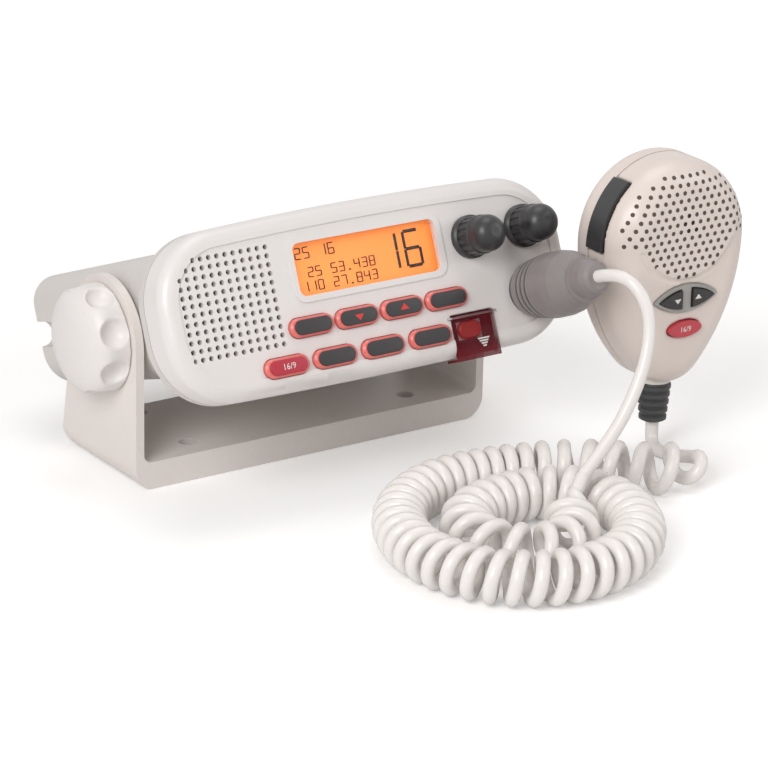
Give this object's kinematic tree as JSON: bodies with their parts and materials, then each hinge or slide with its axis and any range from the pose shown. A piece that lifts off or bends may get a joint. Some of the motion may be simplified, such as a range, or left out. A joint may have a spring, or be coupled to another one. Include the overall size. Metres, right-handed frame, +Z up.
{
  "type": "marine vhf radio",
  "caption": "Fixed-mount marine VHF radio tilted on its gimbal bracket, with keypad, display, rotary controls and a fist microphone on a coiled cord.",
  "frame": {"origin": "middle of the gimbal bracket's base, on the surface it stands on", "axes": "+X to the right seen from the front, the panel faces -Y and leans back, +Z up"},
  "size_m": [0.226, 0.2605, 0.111],
  "materials": {
    "off_white_plastic": "satin",
    "cream_plastic": "satin",
    "painted_casting": "off-white paint",
    "white_plastic": "satin",
    "charcoal_plastic": "matte",
    "grey_rubber": "matte",
    "black_rubber": "matte",
    "pink_rubber": "translucent",
    "red_rubber": "satin",
    "red_clear": "clear red",
    "steel": "plain",
    "brass": "plain",
    "lcd_glass": "clear",
    "lcd_body": "back-lit",
    "circuit_board": "solder mask",
    "magnet_steel": "plated",
    "grey_plastic": "satin",
    "cord_rubber": "satin"
  },
  "bodies": {
    "base": {"mounting_bracket": "off_white_plastic", "gimbal_washer_left": "grey_rubber", "gimbal_washer_right": "grey_rubber", "mic_front_shell": "cream_plastic", "mic_rear_shell": "cream_plastic", "mic_screws": "steel", "mic_hang_button": "steel", "mic_key_surround": "grey_plastic", "mic_collar": "white_plastic", "mic_strain_relief": "grey_rubber", "mic_board": "circuit_board", "mic_element": "magnet_steel", "cord_lead": "cord_rubber", "cord_coil": "cord_rubber", "cord_tail": "cord_rubber"},
    "chassis": {"front_bezel": "off_white_plastic", "bezel_gasket": "grey_rubber", "rear_chassis": "painted_casting", "pivot_inserts": "brass", "case_screws": "steel", "antenna_socket": "brass", "power_gland": "off_white_plastic", "lcd_window": "lcd_glass", "lcd_module": "lcd_body", "speaker": "magnet_steel", "front_board": "circuit_board", "keypad_sheet": "pink_rubber", "main_board": "circuit_board", "output_stage": "painted_casting", "cover_pin": "steel", "squelch_pot": "charcoal_plastic", "volume_pot": "charcoal_plastic", "mic_socket": "charcoal_plastic", "mic_plug": "grey_rubber"},
    "knob_left": {"gimbal_knob_left": "white_plastic", "gimbal_stud_left": "steel"},
    "knob_right": {"gimbal_knob_right": "white_plastic", "gimbal_stud_right": "steel"},
    "squelch_control": {"squelch_knob": "charcoal_plastic", "squelch_shaft": "steel"},
    "volume_control": {"volume_knob": "charcoal_plastic", "volume_shaft": "steel"},
    "distress_flap": {"distress_cover": "red_clear"},
    "distress_key": {"distress_button": "red_rubber"},
    "mic_down_key": {"mic_key_down": "black_rubber"},
    "mic_up_key": {"mic_key_up": "black_rubber"},
    "mic_call_key": {"mic_red_key": "red_rubber"},
    "talk_bar": {"ptt_bar": "charcoal_plastic"},
    "key_upper_1": {"key_upper_1": "black_rubber"},
    "key_upper_2": {"key_upper_2": "black_rubber"},
    "key_upper_3": {"key_upper_3": "black_rubber"},
    "key_upper_4": {"key_upper_4": "black_rubber"},
    "key_lower_1": {"key_lower_1": "red_rubber"},
    "key_lower_2": {"key_lower_2": "black_rubber"},
    "key_lower_3": {"key_lower_3": "black_rubber"},
    "key_lower_4": {"key_lower_4": "black_rubber"}
  },
  "joints": [
    {"name": "tilt", "type": "hinge", "parent": "base", "child": "chassis", "pos_m": [0, -0.00407, 0.05096], "axis": [1, 0, 0], "range_deg": [-10, 25], "deforming": ["cord_lead"]},
    {"name": "clamp_knob_left", "type": "hinge", "parent": "base", "child": "knob_left", "pos_m": [-0.0792, -0.00407, 0.05096], "axis": [1, 0, 0], "range_deg": [-180, 180]},
    {"name": "clamp_knob_right", "type": "hinge", "parent": "base", "child": "knob_right", "pos_m": [0.0792, -0.00407, 0.05096], "axis": [1, 0, 0], "range_deg": [-180, 180]},
    {"name": "squelch_turn", "type": "hinge", "parent": "chassis", "child": "squelch_control", "pos_m": [0.0433, -0.05723, 0.08301], "axis": [0, -0.9229, 0.3851], "range_deg": [-150, 150]},
    {"name": "volume_turn", "type": "hinge", "parent": "chassis", "child": "volume_control", "pos_m": [0.066, -0.05708, 0.08338], "axis": [0, -0.9229, 0.3851], "range_deg": [-150, 150]},
    {"name": "press_key_upper_1", "type": "slide", "parent": "chassis", "child": "key_upper_1", "axis": [0, 0.9229, -0.3851], "range_m": [0, 0.0008], "stiffness_N_per_m": 800},
    {"name": "press_key_upper_2", "type": "slide", "parent": "chassis", "child": "key_upper_2", "axis": [0, 0.9229, -0.3851], "range_m": [0, 0.0008], "stiffness_N_per_m": 800},
    {"name": "press_key_upper_3", "type": "slide", "parent": "chassis", "child": "key_upper_3", "axis": [0, 0.9229, -0.3851], "range_m": [0, 0.0008], "stiffness_N_per_m": 800},
    {"name": "press_key_upper_4", "type": "slide", "parent": "chassis", "child": "key_upper_4", "axis": [0, 0.9229, -0.3851], "range_m": [0, 0.0008], "stiffness_N_per_m": 800},
    {"name": "press_key_lower_1", "type": "slide", "parent": "chassis", "child": "key_lower_1", "axis": [0, 0.9229, -0.3851], "range_m": [0, 0.0008], "stiffness_N_per_m": 800},
    {"name": "press_key_lower_2", "type": "slide", "parent": "chassis", "child": "key_lower_2", "axis": [0, 0.9229, -0.3851], "range_m": [0, 0.0008], "stiffness_N_per_m": 800},
    {"name": "press_key_lower_3", "type": "slide", "parent": "chassis", "child": "key_lower_3", "axis": [0, 0.9229, -0.3851], "range_m": [0, 0.0008], "stiffness_N_per_m": 800},
    {"name": "press_key_lower_4", "type": "slide", "parent": "chassis", "child": "key_lower_4", "axis": [0, 0.9229, -0.3851], "range_m": [0, 0.0008], "stiffness_N_per_m": 800},
    {"name": "press_distress", "type": "slide", "parent": "chassis", "child": "distress_key", "axis": [0, 0.9229, -0.3851], "range_m": [0, 0.0008], "stiffness_N_per_m": 800},
    {"name": "cover_lift", "type": "hinge", "parent": "chassis", "child": "distress_flap", "pos_m": [0.03785, -0.06722, 0.05803], "axis": [-1, 0, 0], "range_deg": [0, 100]},
    {"name": "talk_press", "type": "slide", "parent": "base", "child": "talk_bar", "axis": [0.9063, 0, -0.4226], "range_m": [0, 0.0015], "stiffness_N_per_m": 900},
    {"name": "press_mic_down_key", "type": "slide", "parent": "base", "child": "mic_down_key", "axis": [0, 1, 0], "range_m": [0, 0.0008], "stiffness_N_per_m": 600},
    {"name": "press_mic_up_key", "type": "slide", "parent": "base", "child": "mic_up_key", "axis": [0, 1, 0], "range_m": [0, 0.0008], "stiffness_N_per_m": 600},
    {"name": "press_mic_call_key", "type": "slide", "parent": "base", "child": "mic_call_key", "axis": [0, 1, 0], "range_m": [0, 0.0008], "stiffness_N_per_m": 600}
  ]
}
